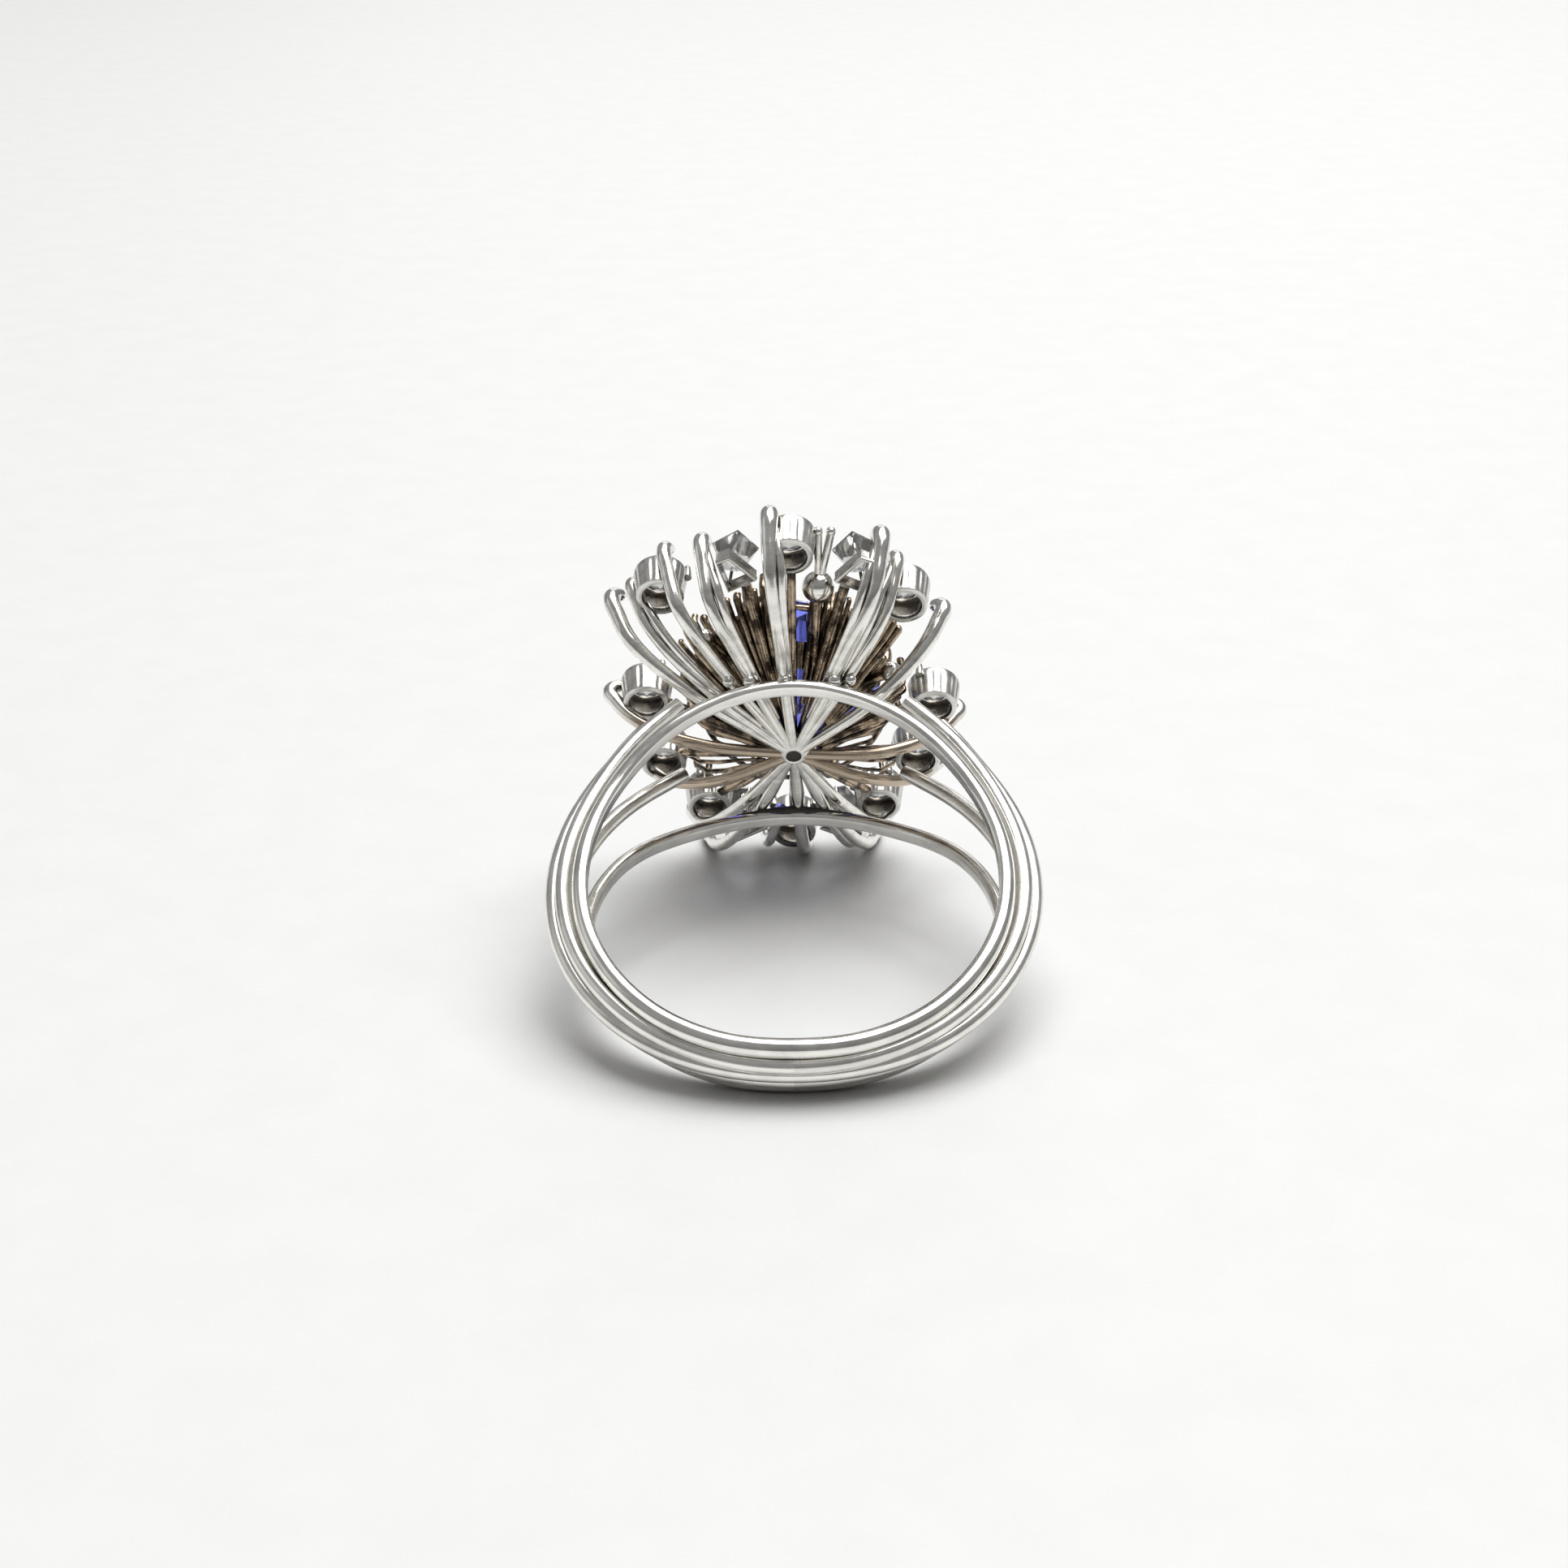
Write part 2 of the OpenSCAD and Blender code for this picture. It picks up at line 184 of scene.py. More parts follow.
# Straight inner wires; columns: end across, end along the finger, end height, wire radius
STAYS = [
    (0.00, 8.16, 12.15, 0.20),
    (-1.99, 7.00, 12.35, 0.24),
    (2.32, 6.86, 12.35, 0.24),
    (-5.19, 6.17, 12.15, 0.22),
    (4.40, 5.49, 12.15, 0.22),
    (-5.85, 0.19, 12.15, 0.24),
    (5.58, -0.05, 12.15, 0.24),
    (-5.37, -3.08, 12.15, 0.22),
    (5.03, -2.97, 12.15, 0.22),
    (-3.59, -5.79, 12.15, 0.22),
    (3.50, -5.72, 12.15, 0.22),
    (-2.18, -6.72, 12.35, 0.20),
    (1.89, -6.71, 12.35, 0.20),
    (-0.11, -7.44, 12.15, 0.20),
]
# Share of an inner wire's reach at which it leaves the hub
STAY_ROOT = 0.078
# How far the basket's wires stand off the centre stone, and how far their knees lie under its girdle
BASKET_CLEARANCE = 0.36
KNEE_DROP = 0.9
# Directions of the basket's wires round the hub, and of the two that are thin
BASKET_ANGLES = [20, 66, 114, 160, 200, 246, 294, 340]
THIN_ANGLES = [200, 340]
# Dull wires that fan out behind the claws to the centre stone and the settings
# columns: first and last direction round the hub, count, start and end as shares of the way out,
# spread, wire radius
FAN = [
    (42, 66, 7, 0.20, 1.00, 1.00, 0.18),
    (66, 76, 4, 0.34, 1.00, 1.00, 0.20),
    (82, 85, 2, 0.53, 0.74, 1.00, 0.18),
    (93, 102, 3, 0.16, 1.00, 1.00, 0.22),
    (104, 122, 5, 0.30, 1.00, 1.00, 0.24),
    (124, 158, 9, 0.24, 1.00, 1.00, 0.19),
    (16, 40, 8, 0.24, 1.00, 1.00, 0.19),
    (192, 212, 2, 0.12, 1.00, 1.00, 0.10),
    (328, 348, 2, 0.12, 1.00, 1.00, 0.10),
    (306, 329, 4, 0.12, 1.00, 1.35, 0.14),
    (211, 234, 4, 0.12, 1.00, 1.35, 0.14),
    (99, 117, 5, 0.20, 1.00, 1.22, 0.16),
    (50, 78, 6, 0.22, 1.00, 1.20, 0.15),
    (122, 136, 3, 0.20, 1.00, 1.25, 0.15),
    (34, 52, 6, 0.20, 1.00, 1.30, 0.18),
    (140, 152, 3, 0.20, 1.00, 1.30, 0.14),
    (2, 14, 4, 0.12, 1.00, 1.15, 0.15),
    (166, 178, 4, 0.12, 1.00, 1.15, 0.15),
    (350, 358, 2, 0.12, 1.00, 1.10, 0.16),
    (182, 190, 2, 0.12, 1.00, 1.10, 0.16),
]
# Outline of a kite stone; columns: outward, sideways
KITE_OUTLINE = [(1.20, 0.00), (0.30, 1.02), (-1.05, 0.45), (-1.05, -0.45), (0.30, -1.02)]
# Cut of a kite stone from its table to its culet; columns: share of the outline, height over the girdle
KITE_CUT = [
    (0.00, 0.35),
    (0.55, 0.35),
    (0.80, 0.24),
    (1.00, 0.05),
    (1.00, -0.05),
    (0.66, -0.50),
    (0.30, -0.95),
    (0.00, -1.10),
]
# Lower edge of the box under a kite stone; columns: outward, sideways
KITE_BOX = [(0.62, 0.83), (0.97, 0.35), (-0.12, -0.94), (-0.95, 0.15)]
# Which way round the box of each kite stone lies
KITE_SIDES = {11: 1, 12: -1, 13: 1, 14: -1}
# Polished balls inside the head, the large one first; columns: across, along the finger, height, radius
BALLS = [
    (1.16, 6.89, 12.30, 0.72),
    (4.40, 2.30, 11.70, 0.48),
    (3.15, 3.90, 11.70, 0.20),
    (-3.90, 4.60, 11.60, 0.40),
]
# Beads at the ends of the twigs of the large ball, with the same columns
TWIG_BEADS = [
    (1.74, 9.18, 13.30, 0.22),
    (1.18, 9.19, 13.30, 0.22),
]
# Where claws cross the upper rail: height, place along the finger, and the least reach of such a claw
CROSSING_HEIGHT = 9.2
CROSSING_PLACE = 4.2
CROSSING_CLAWS = 7

# Wall of a collet; columns: distance out from the stone's edge, height
COLLET_OUTLINE = [
    (0.08, 0.04),
    (0.16, 0.08),
    (0.27, 0.04),
    (0.29, -0.06),
    (0.28, -0.20),
    (0.25, -0.50),
    (0.16, -1.15),
    (0.14, -1.38),
    (0.05, -1.45),
    (-0.10, -1.45),
    (-0.14, -1.38),
    (-0.12, -1.10),
    (0.06, -0.30),
]
# Upright grooves on a collet: number, depth, and the heights between which they lie
FLUTES = 15
FLUTE_DEPTH = 0.05
FLUTE_HEIGHTS = (-1.3, -0.1)
# Grain beside a collet; columns: rise, radius
GRAIN = [(0, 0.20), (0.35, 0.18), (0.60, 0.15)]

# Stones; columns: number, across, along the finger, girdle height
ROUNDS = [
    (1, -0.08, 8.97, 13.33),
    (2, 4.92, 6.20, 13.23),
    (3, 6.42, 0.00, 13.18),
    (4, 5.75, -3.40, 13.18),
    (5, 3.95, -6.45, 13.23),
    (6, -0.10, -8.30, 13.28),
    (7, -4.05, -6.50, 13.23),
    (8, -6.10, -3.50, 13.18),
    (9, -6.70, 0.45, 13.18),
    (10, -5.76, 6.83, 13.23),
]
# Kite stones; columns as before, then the direction of the point, turned from across the ring
KITES = [
    (11, 2.84, 8.00, 13.30, 99),
    (12, 2.15, -7.70, 13.25, -78),
    (13, -2.38, -7.70, 13.25, -99),
    (14, -2.46, 8.13, 13.30, 82),
]

# Studio, in metres; columns: name, place, width, power in watts
LIGHTS = [
    ("top light", (0.19, 0.18, 0.84), 0.78, 8.1),
    ("back light", (0.06, 1.02, 0.48), 0.60, 0.90),
    ("left light", (-0.90, 0.00, 0.42), 0.60, 0.35),
]
LIT_PLACE = (0, 0, 0.008)
TENT_STRENGTH = 0.30
CAMERA_PLACE = (0.0010237, -0.1027062, 0.0533666)
CAMERA_TURN = (66.316, 0.797, 0.4423)
CAMERA_LENS = 59.646


class RingSizes(bpy.types.PropertyGroup):
    finger_diameter: bpy.props.FloatProperty(
        name="Finger diameter",
        description="Inner diameter of the shank in millimetres",
        default=17,
        min=14,
        max=22,
    )
    hub_height: bpy.props.FloatProperty(
        name="Hub height",
        description="Height of the hub above the finger hole's middle, in millimetres",
        default=8.95,
    )
    inner_wire: bpy.props.FloatProperty(
        name="Inner wire",
        description="Radius of a claw where it leaves the hub, in millimetres",
        default=0.25,
    )
    stone_lean: bpy.props.FloatProperty(
        name="Stone lean",
        description="Outward lean of the outer stones in degrees",
        default=1,
        min=0,
        max=25,
    )
    round_diameter: bpy.props.FloatProperty(
        name="Round stones",
        description="Diameter of a round stone in millimetres",
        default=1.8,
        min=1,
        max=3,
    )
    centre_width: bpy.props.FloatProperty(
        name="Centre width", description="Width of the centre stone in millimetres", default=8
    )
    centre_length: bpy.props.FloatProperty(
        name="Centre length", description="Length of the centre stone in millimetres", default=10
    )
    centre_girdle: bpy.props.FloatProperty(
        name="Centre girdle", description="Height of the centre stone's girdle in millimetres", default=13.6
    )


class RingColours(bpy.types.PropertyGroup):
    metal: bpy.props.FloatVectorProperty(
        name="White metal",
        description="Colour of the polished metal",
        subtype="COLOR",
        default=(0.89, 0.875, 0.83),
    )
    bronze: bpy.props.FloatVectorProperty(
        name="Inner metal",
        description="Colour of the metal deep in the head",
        subtype="COLOR",
        default=(0.46, 0.365, 0.265),
    )
    sapphire: bpy.props.FloatVectorProperty(
        name="Blue stone",
        description="Colour of the centre stone",
        subtype="COLOR",
        default=(0.16, 0.19, 0.82),
    )
    diamond: bpy.props.FloatVectorProperty(
        name="White stones",
        description="Colour of the white stones",
        subtype="COLOR",
        default=(0.93, 0.93, 0.91),
    )
    floor: bpy.props.FloatVectorProperty(
        name="Floor", description="Colour of the floor", subtype="COLOR", default=(0.84, 0.84, 0.832)
    )


def sizes():
    return bpy.context.scene.ring_sizes


def colours():
    return bpy.context.scene.ring_colours


# Sums on sockets

class Reading:
    """A socket's value, which can be used in sums."""

    def __init__(self, tree, socket):
        self.tree = tree
        self.socket = socket

    def sum(self, operation, *values):
        node = self.tree.nodes.new("ShaderNodeMath")
        node.operation = operation
        for i, value in enumerate(values):
            if isinstance(value, Reading):
                self.tree.links.new(value.socket, node.inputs[i])
            else:
                node.inputs[i].default_value = value
        return Reading(self.tree, node.outputs[0])

    def __add__(self, other):
        return self.sum("ADD", self, other)

    def __radd__(self, other):
        return self.sum("ADD", other, self)

    def __sub__(self, other):
        return self.sum("SUBTRACT", self, other)

    def __rsub__(self, other):
        return self.sum("SUBTRACT", other, self)

    def __mul__(self, other):
        return self.sum("MULTIPLY", self, other)

    def __rmul__(self, other):
        return self.sum("MULTIPLY", other, self)

    def over(self, low, high):
        """From 0 at low to 1 at high."""
        node = self.tree.nodes.new("ShaderNodeMapRange")
        node.interpolation_type = "SMOOTHSTEP"
        self.tree.links.new(self.socket, node.inputs["Value"])
        node.inputs["From Min"].default_value = low
        node.inputs["From Max"].default_value = high
        return Reading(self.tree, node.outputs["Result"])


class Finish:
    """A material, or the world, and its nodes."""

    def __init__(self, owner):
        owner.use_nodes = True
        self.owner = owner
        self.tree = owner.node_tree
        self.tree.nodes.clear()

    def node(self, kind, settings=None, values=None):
        """A node with its settings, then the values or links of its sockets."""
        node = self.tree.nodes.new(kind)
        for key, value in (settings or {}).items():
            setattr(node, key, value)
        for key, value in (values or {}).items():
            socket = node.inputs[key]
            if isinstance(value, Reading):
                self.tree.links.new(value.socket, socket)
            else:
                socket.default_value = value
        return node

    def read(self, node, output=0):
        return Reading(self.tree, node.outputs[output])

    def place(self):
        return self.read(self.node("ShaderNodeTexCoord"), "Object")

    def noise(self, scale, detail=2.0, roughness=0.5, where=None):
        values = {"Vector": where or self.place(), "Scale": scale, "Detail": detail, "Roughness": roughness}
        return self.read(self.node("ShaderNodeTexNoise", None, values), "Fac")

    def from_the_finger(self):
        """Place from the middle of the finger hole: across, towards the head and along the finger."""
        turned = self.node(
            "ShaderNodeMapping",
            {"vector_type": "TEXTURE"},
            {
                "Vector": self.place(),
                "Location": (0, REST_SHIFT * MM, REST_HEIGHT * MM),
                "Rotation": (math.radians(REST_TILT), 0, 0),
            },
        )
        parts = self.node("ShaderNodeSeparateXYZ", None, {"Vector": self.read(turned)})
        return [self.read(parts, key) for key in ("X", "Y", "Z")]

    def round_the_finger(self, stretch):
        """Place measured outward, along the finger and, stretched, round the finger hole."""
        x, y, z = self.from_the_finger()
        outward = self.root(x * x + y * y)
        round_it = x.sum("ARCTAN2", x, y) * (SHANK_RADIUS * stretch)
        joined_up = self.node("ShaderNodeCombineXYZ", None, {"X": outward, "Y": round_it, "Z": z})
        return self.read(joined_up)

    def root(self, value):
        return value.sum("SQRT", value)

    def off_axis(self):
        """Distance from the line through the hub that the head spreads around."""
        x, y, z = self.from_the_finger()
        return self.root(x * x + z * z)

    def openness(self, reach):
        """1 on open surfaces, towards 0 in grooves narrower than the reach."""
        return self.read(self.node("ShaderNodeAmbientOcclusion", {"samples": 4}, {"Distance": reach}), "AO")

    def blend(self, mask, first, second):
        """Colour that goes from the first to the second as the mask goes from 0 to 1."""
        node = self.node("ShaderNodeMix", {"data_type": "RGBA"}, {"Factor": mask})
        for key, value in ((6, first), (7, second)):
            if isinstance(value, Reading):
                self.tree.links.new(value.socket, node.inputs[key])
            else:
                node.inputs[key].default_value = (*value[:3], 1)
        return self.read(node, 2)

    def bump(self, height, strength, distance):
        values = {"Height": height, "Strength": strength, "Distance": distance}
        return self.read(self.node("ShaderNodeBump", None, values), "Normal")

    def surface(self, values):
        shader = self.node("ShaderNodeBsdfPrincipled", None, values)
        output = self.node("ShaderNodeOutputMaterial")
        self.tree.links.new(shader.outputs[0], output.inputs["Surface"])
        return self.owner


def tinted(colour, share, lift=0):
    """A paler or darker shade of a colour, no channel past full."""
    return [min(1, channel * share + lift) for channel in colour]


def polished(name, tint, dullness, inner=None, hollow=(0.0004, 0.1, 0.5), scratch=0.08):
    """White metal with soft waves, scratches along the shank's wires, and painted shade in its grooves.

    inner is its colour near the hub; hollow is the width of a groove and the openness
    at which the painted shade ends and at which the metal is unshaded.
    """
    finish = Finish(bpy.data.materials.new(name))
    streaks = finish.noise(2600, 2.0, 0.6, finish.round_the_finger(0.03))
    waves = finish.noise(420, 1.0)
    cloud = finish.noise(700, 3.0, 0.6)
    worn = tinted(tint, 0.80)
    unshaded = finish.blend((cloud * 0.5 + streaks * 0.5).over(0.38, 0.58), worn, tint)
    if inner:
        unshaded = finish.blend(finish.off_axis().over(GOLDEN_END, WHITE_START), inner, unshaded)
    # Painted shade: grooves narrower than the reach are darkened towards a deep tone of the inner metal
    painted_shade = tinted(colours().bronze, 0.25)
    reach, closed, open_air = hollow
    return finish.surface(
        {
            "Base Color": finish.blend(finish.openness(reach).over(closed, open_air), painted_shade, unshaded),
            "Metallic": 1.0,
            "Roughness": cloud * 0.16 + streaks * 0.12 + dullness,
            "Normal": finish.bump(waves * 0.7 + streaks * scratch, 0.35, 0.00012),
        }
    )


def white_metal():
    return polished("polished white metal", colours().metal, 0.0)


def rail_metal():
    """Metal of the rails, with stronger scratches and its colour raised as painted light."""
    return polished("rail metal", tinted(colours().metal, 1.07), 0.03, scratch=0.25)


def worn_and_painted_lit_metal():
    """Metal of the shank's middle wires, with more scratches and its colour raised as painted light."""
    return polished("worn white metal with painted light", tinted(colours().metal, 1.07), 0.10, scratch=0.35)


def dim_metal():
    """Metal of the side claws, which are dull and golden towards the hub."""
    inner = [0.12 * m + 0.88 * b for m, b in zip(colours().metal, colours().bronze)]
    return polished("dim side metal", colours().metal, 0.04, inner)


def satin_metal():
    """Metal of the settings, less polished and greyer than the wires, with painted shade inside."""
    return polished("satin white metal", tinted(colours().metal, 0.86), 0.14, hollow=(0.0016, 0.25, 0.72))


def bronze_metal():
    """Metal deep in the head: dull where polish does not reach, bright over the centre stone's edge, with
    painted shade in its grooves.
    """
    finish = Finish(bpy.data.materials.new("dull inner metal"))
    height = finish.from_the_finger()[1]
    edge = sizes().centre_girdle * MM
    cloud = finish.noise(1100, 3.0, 0.6)
    grain = finish.noise(5000, 2.0, 0.6)
    dark = tinted(colours().bronze, 0.10)
    dull = finish.blend(cloud.over(0.38, 0.60), dark, colours().bronze)
    unshaded = finish.blend(height.over(edge, edge + 0.00025), dull, colours().metal)
    # Painted shade: grooves narrower than 0.6 mm are darkened towards the dark tone
    return finish.surface(
        {
            "Base Color": finish.blend(finish.openness(0.0006).over(0.15, 0.6), dark, unshaded),
            "Metallic": 1.0,
            "Roughness": cloud * 0.2 + 0.06,
            "Normal": finish.bump(grain * 0.4 + cloud, 0.5, 0.0001),
        }
    )


def dark_shade_finish():
    """Dark dull painted shade, for the arch's solder line and the plug in the hub's bore."""
    finish = Finish(bpy.data.materials.new("dark painted shade"))
    cloud = finish.noise(1500, 3.0, 0.6)
    dark = tinted(colours().bronze, 0.03)
    light = tinted(colours().bronze, 0.12)
    return finish.surface({"Base Color": finish.blend(cloud, dark, light), "Roughness": cloud * 0.2 + 0.4})


def blue_stone():
    """Clear blue corundum, a little paler in zones."""
    finish = Finish(bpy.data.materials.new("blue corundum"))
    zone = finish.noise(260, 1.0)
    pale = tinted(colours().sapphire, 1.6, 0.02)
    return finish.surface(
        {
            "Base Color": finish.blend(zone.over(0.35, 0.7), colours().sapphire, pale),
            "Roughness": 0.0,
            "IOR": 1.77,
            "Transmission Weight": 1.0,
        }
    )


def clear_stone():
    """Clear diamond, with greyer patches of painted reflection standing in for the metal round it."""
    finish = Finish(bpy.data.materials.new("clear diamond"))
    cloud = finish.noise(1500, 2.0)
    # Painted reflection: the greyer tone stands in for metal seen in the stone
    shade = tinted(colours().diamond, 0.8)
    return finish.surface(
        {
            "Base Color": finish.blend(cloud.over(0.3, 0.7), colours().diamond, shade),
            "Roughness": 0.02,
            "IOR": 1.8,
            "Transmission Weight": 0.88,
        }
    )


def white_floor():
    """Board with a painted shadow where the ring nearly touches it."""
    finish = Finish(bpy.data.materials.new("matt white board"))
    fibre = finish.noise(300, 3.0)
    paler = tinted(colours().floor, 1.02)
    shaded = tinted(colours().floor, 0.45)
    board = finish.blend(fibre.over(0.3, 0.7), colours().floor, paler)
    # Painted shadow: the board darkens towards a deep shade of its colour close to the ring
    return finish.surface(
        {
            "Base Color": finish.blend(finish.openness(0.005).over(0.1, 0.85), shaded, board),
            "Roughness": 0.5,
            "Specular IOR Level": 0.3,
        }
    )


# Tables read as smooth curves

def along(rows, place, column):
    """Value of a column part way along a table, as a smooth curve through its rows."""
    def slope(i):
        if i == 0 or rows[i][0] == 180:
            return 0
        last = min(i + 1, len(rows) - 1)
        return (rows[last][column] - rows[i - 1][column]) / (rows[last][0] - rows[i - 1][0])

    i = 0
    while i < len(rows) - 2 and place >= rows[i + 1][0]:
        i += 1
    length = rows[i + 1][0] - rows[i][0]
    s = (place - rows[i][0]) / length
    value = rows[i][column] * (2 * s**3 - 3 * s**2 + 1) + rows[i + 1][column] * (3 * s**2 - 2 * s**3)
    return value + length * (slope(i) * (s**3 - 2 * s**2 + s) + slope(i + 1) * (s**3 - s**2))


def ring_point(rows, angle, side):
    """Middle of a shank wire at an angle from the back."""
    reach = sizes().finger_diameter / 2 + along(rows, abs(angle), 1)
    turn = math.radians(angle)
    return Vector((reach * math.sin(turn), -reach * math.cos(turn), side * along(rows, abs(angle), 2)))


def ring_wire(rows, side, limit, steps):
    """Points of a shank wire between two equal angles on either side of the back."""
    whole = limit == 180
    angles = [-limit + 2 * limit * i / steps for i in range(steps if whole else steps + 1)]
    return [(ring_point(rows, a, side), along(rows, abs(a), 3)) for a in angles]


def rounded(points):
    """Adds a round end to a list of (point, radius)."""
    last, radius = points[-1]
    ahead = (last - points[-2][0]).normalized()
    for turn in (25, 50, 70, 84):
        t = math.radians(turn)
        points.append((last + ahead * radius * math.sin(t), radius * math.cos(t)))
    return points


# Wires and lathed pieces

def leave_edit_and_clear():
    if bpy.context.object and bpy.context.object.mode != "OBJECT":
        bpy.ops.object.mode_set(mode="OBJECT")
    bpy.ops.object.select_all(action="DESELECT")


def only(piece):
    leave_edit_and_clear()
    piece.select_set(True)
    bpy.context.view_layer.objects.active = piece


def flat_profile(share):
    """Outline of a wire whose one side is filed flat; share is how much of the radius is left there."""
    leave_edit_and_clear()
    bpy.ops.curve.primitive_bezier_circle_add(radius=1)
    profile = bpy.context.object
    data = profile.data
    data.dimensions = "2D"
    data.splines.clear()
    spline = data.splines.new("POLY")
    sides = 28
    spline.points.add(sides - 1)
    for i, point in enumerate(spline.points):
        turn = 2 * math.pi * (i + 0.5) / sides
        point.co = (max(math.cos(turn), -share), math.sin(turn), 0, 1)
    spline.use_cyclic_u = True
    return profile


def wires(runs, closed=False, profile=None, fine=5, sides=4, upright=True):
    """A mesh of wires, each a list of (point, radius)."""
    leave_edit_and_clear()
    bpy.ops.curve.primitive_bezier_curve_add()
    piece = bpy.context.object
    data = piece.data
    data.splines.clear()
    data.dimensions = "3D"
    data.twist_mode = "Z_UP" if upright else "MINIMUM"
    for run in runs:
        spline = data.splines.new("BEZIER")
        spline.bezier_points.add(len(run) - 1)
        spline.use_cyclic_u = closed
        spline.resolution_u = fine
        spline.use_smooth = True
        for knot, (place, radius) in zip(spline.bezier_points, run):
            knot.co = place
            knot.radius = radius
            knot.handle_left_type = knot.handle_right_type = "AUTO"
    data.use_fill_caps = not closed
    if profile:
        data.bevel_mode = "OBJECT"
        data.bevel_object = profile
    else:
        data.bevel_depth = 1
        data.bevel_resolution = sides
    bpy.ops.object.convert(target="MESH")
    piece = bpy.context.object
    if profile:
        bpy.data.objects.remove(profile)
    return piece


def lathe(outline, sides):
    """A closed ring turned from a closed outline of (radius, height) points."""
    leave_edit_and_clear()
    bpy.ops.mesh.primitive_circle_add(vertices=len(outline), radius=1)
    piece = bpy.context.object
    for vertex, (radius, height) in zip(piece.data.vertices, outline):
        vertex.co = (radius, 0, height)
    bpy.ops.object.mode_set(mode="EDIT")
    bpy.ops.mesh.select_all(action="SELECT")
    bpy.ops.mesh.spin(steps=sides, angle=2 * math.pi, center=(0, 0, 0), axis=(0, 0, 1))
    bpy.ops.mesh.select_all(action="SELECT")
    bpy.ops.mesh.remove_doubles(threshold=0.0005)
    bpy.ops.mesh.normals_make_consistent(inside=False)
    bpy.ops.object.mode_set(mode="OBJECT")
    return piece


def joined(pieces):
    leave_edit_and_clear()
    for piece in pieces:
        piece.select_set(True)
    bpy.context.view_layer.objects.active = pieces[0]
    if len(pieces) > 1:
        bpy.ops.object.join()
    return bpy.context.object


def copy_of(piece, place):
    """A copy with its own mesh, put at a place."""
    twin = piece.copy()
    twin.data = piece.data.copy()
    bpy.context.collection.objects.link(twin)
    twin.data.transform(place)
    return twin


def finished(piece, name, material, smooth=40):
    """Lays a piece that was drawn upright in millimetres on the floor, paints it and rides it."""
    piece.name = piece.data.name = name
    piece.data.transform(LAID)
    piece.data.materials.clear()
    piece.data.materials.append(material)
    only(piece)
    bpy.ops.object.shade_smooth_by_angle(angle=math.radians(smooth))
    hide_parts("mount")
    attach(piece, "root")


def material(name, maker):
    return bpy.data.materials.get(name) or maker()


def metal():
    return material("polished white metal", white_metal)


def rail():
    return material("rail metal", rail_metal)


def worn():
    return material("worn white metal with painted light", worn_and_painted_lit_metal)


def dim():
    return material("dim side metal", dim_metal)


def satin():
    return material("satin white metal", satin_metal)


def bronze():
    return material("dull inner metal", bronze_metal)


def painted_shade():
    return material("dark painted shade", dark_shade_finish)


# Claws

def grown(gain, radius, start):
    return start + (radius - start) * gain


def cut_corners(run):
    """Replaces each inner point by two, so that the curve stays inside the corners."""
    points = [run[0]]
    for (a, r), (b, q) in zip(run, run[1:]):
        points.append((a.lerp(b, 0.25), r + (q - r) * 0.25))
        points.append((a.lerp(b, 0.75), r + (q - r) * 0.75))
    del points[1], points[-1]
    return points + [run[-1]]


def beside(tip, side):
    """Level direction square to a claw, towards its partner."""
    return Vector((abs(tip.z), 0, -tip.x * math.copysign(1, tip.z))).normalized() * side


def climb(tip, bend):
    """Middle of a claw at each row of its climb: share of the way, place and gain of thickness."""
    start = CLAW_ROOT / math.hypot(tip.x, tip.z)
    hub = sizes().hub_height
    for share, slanted, steep, gain in CLIMB:
        out = start + share * (1 - start)
        rise = slanted + (steep - slanted) * bend
        yield share, Vector((tip.x * out, hub + (tip.y - hub) * rise, tip.z * out)), gain


def claw_run(tip, radius, bend, side=0, first=0):
    """Points of a claw from the hub to its tip, over the stone's edge, with a round end."""
    run = []
    for share, place, gain in climb(tip, bend):
        if share < first:
            continue
        wide = grown(gain, radius, sizes().inner_wire)
        if side and SLIT[0] < share < SLIT[1]:
            place = place - beside(tip, side) * SLIT_SHIFT
            wide -= SLIT_THINNER
        run.append((place, wide))
    inward = -Vector((tip.x, 0, tip.z)).normalized()
    run = cut_corners(cut_corners(run))
    for back, rise, share in FOLD:
        run.append((tip + inward * back + Vector((0, rise, 0)), radius * share))
    return rounded(run)


def partner_run(tip, bend, side, radius=0.20):
    """Thin wire that runs beside a claw, leaves a slit under the tip and joins it there."""
    run = []
    for (_, place, gain), away in zip(list(climb(tip, bend))[1:], PARTNER_GAP):
        place = place + Vector((0, 0.08, 0)) + beside(tip, side) * away
        run.append((place, grown(gain, radius, 0.19)))
    return cut_corners(cut_corners(run))


def foot_reach(height, radius):
    """How far along the finger a claw's tip has to lie to touch the floor."""
    tilt = math.radians(REST_TILT)
    return (radius - REST_HEIGHT - height * math.sin(tilt)) / math.cos(tilt)


def seat(row):
    """Place of an outer stone: upright, leaning outward, its own x axis outward or as the table turns it."""
    turn = math.radians(-row[4]) if len(row) > 4 else math.atan2(-row[2], row[1])
    return (
        Matrix.Translation((row[1], row[3], row[2]))
        @ Matrix.Rotation(math.radians(-90), 4, "X")
        @ Matrix.Rotation(turn, 4, "Z")
        @ Matrix.Rotation(math.radians(sizes().stone_lean), 4, "Y")
    )


